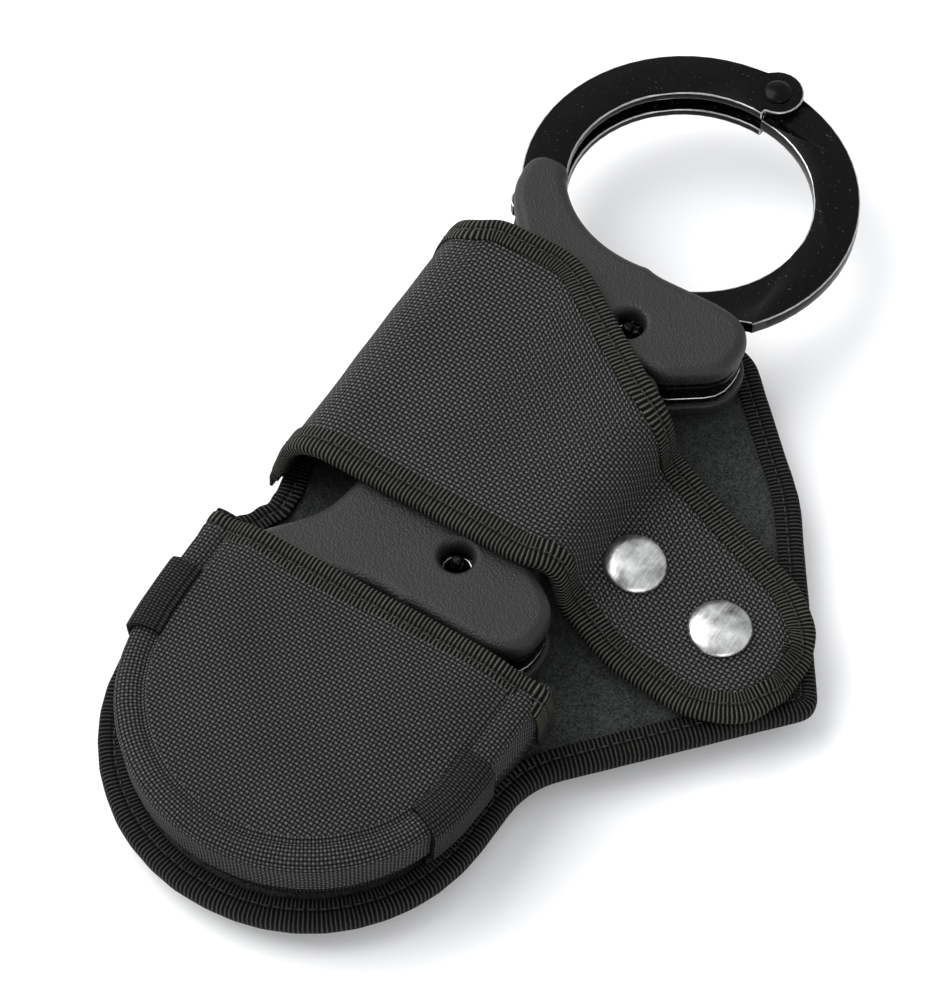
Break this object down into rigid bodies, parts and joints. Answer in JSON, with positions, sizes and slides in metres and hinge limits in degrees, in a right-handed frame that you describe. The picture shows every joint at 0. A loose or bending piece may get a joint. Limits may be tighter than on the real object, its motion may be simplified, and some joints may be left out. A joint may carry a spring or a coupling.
{
  "type": "rigid handcuffs in a belt pouch",
  "caption": "Rigid-grip hinged-bow handcuffs with ratchet locks, held in a nylon belt pouch with a half pocket and a snap-down retaining flap.",
  "frame": {"origin": "middle of the cuffs in plan, on the flat outside of the belt loop, which the pouch rests on", "axes": "+Y along the cuffs towards the ring that stands out of the pouch, +X towards the side the flap snaps down on, +Z away from the wearer"},
  "size_m": [0.139, 0.2522, 0.0364],
  "materials": {
    "black_steel": "gloss black",
    "spring_steel": "plain steel",
    "grip_polymer": "leather grained",
    "ballistic_nylon": "coarse basket weave",
    "binding_tape": "ribbed",
    "nylon_webbing": "woven",
    "felt_lining": "brushed felt",
    "snap_metal": "satin gunmetal"
  },
  "bodies": {
    "pouch_and_frame": {"upper_front_cover": "grip_polymer", "upper_rear_cover": "grip_polymer", "upper_front_cheek": "black_steel", "upper_rear_cheek": "black_steel", "upper_pivot_rivet": "black_steel", "upper_lock_body": "black_steel", "upper_pawl_pin": "spring_steel", "upper_pawl_spring": "spring_steel", "upper_key_post": "spring_steel", "lower_front_cover": "grip_polymer", "lower_rear_cover": "grip_polymer", "lower_front_cheek": "black_steel", "lower_rear_cheek": "black_steel", "lower_pivot_rivet": "black_steel", "lower_lock_body": "black_steel", "lower_pawl_pin": "spring_steel", "lower_pawl_spring": "spring_steel", "lower_key_post": "spring_steel", "link_bar": "black_steel", "grip_front_shell": "grip_polymer", "grip_rear_shell": "grip_polymer", "link_rivet_1": "spring_steel", "link_rivet_2": "spring_steel", "link_rivet_3": "spring_steel", "link_rivet_4": "spring_steel", "grip_screw_upper": "spring_steel", "grip_screw_lower": "spring_steel", "back_panel": "ballistic_nylon", "back_lining": "felt_lining", "back_binding": "binding_tape", "belt_loop": "nylon_webbing", "pocket": "ballistic_nylon", "pocket_binding": "binding_tape", "pocket_tab_left": "nylon_webbing", "pocket_tab_right": "nylon_webbing", "snap_stud_inner": "snap_metal", "snap_stud_outer": "snap_metal"},
    "upper_strand": {"upper_strand": "black_steel"},
    "lower_strand": {"lower_strand": "black_steel"},
    "upper_pawl": {"upper_pawl": "spring_steel"},
    "lower_pawl": {"lower_pawl": "spring_steel"},
    "upper_lock_bar": {"upper_lock_bar": "spring_steel"},
    "lower_lock_bar": {"lower_lock_bar": "spring_steel"},
    "flap": {"flap": "ballistic_nylon", "flap_binding": "binding_tape", "snap_cap_inner": "snap_metal", "snap_socket_inner": "snap_metal", "snap_cap_outer": "snap_metal", "snap_socket_outer": "snap_metal"}
  },
  "joints": [
    {"name": "flap_open", "type": "hinge", "parent": "pouch_and_frame", "child": "flap", "pos_m": [-0.045, 0, 0.012], "axis": [0, -1, 0], "range_deg": [0, 120]},
    {"name": "upper_bow_swing", "type": "hinge", "parent": "pouch_and_frame", "child": "upper_strand", "pos_m": [0.0034, 0.1162, 0.0221], "axis": [0, 0, 1], "continuous": true},
    {"name": "lower_bow_swing", "type": "hinge", "parent": "pouch_and_frame", "child": "lower_strand", "pos_m": [0.0034, -0.1162, 0.0221], "axis": [0, 0, -1], "range_deg": [-3.5, 1]},
    {"name": "upper_pawl_lift", "type": "hinge", "parent": "pouch_and_frame", "child": "upper_pawl", "pos_m": [0.003, 0.0381, 0.0221], "axis": [0, 0, -1], "range_deg": [-7, 0], "stiffness_Nm_per_rad": 0.05, "deforming": ["upper_pawl_spring"]},
    {"name": "lower_pawl_lift", "type": "hinge", "parent": "pouch_and_frame", "child": "lower_pawl", "pos_m": [0.003, -0.0381, 0.0221], "axis": [0, 0, 1], "range_deg": [-7, 0], "stiffness_Nm_per_rad": 0.05, "deforming": ["lower_pawl_spring"]},
    {"name": "upper_double_lock", "type": "slide", "parent": "pouch_and_frame", "child": "upper_lock_bar", "axis": [1, 0, 0], "range_m": [0, 0.003]},
    {"name": "lower_double_lock", "type": "slide", "parent": "pouch_and_frame", "child": "lower_lock_bar", "axis": [1, 0, 0], "range_m": [0, 0.003]}
  ]
}
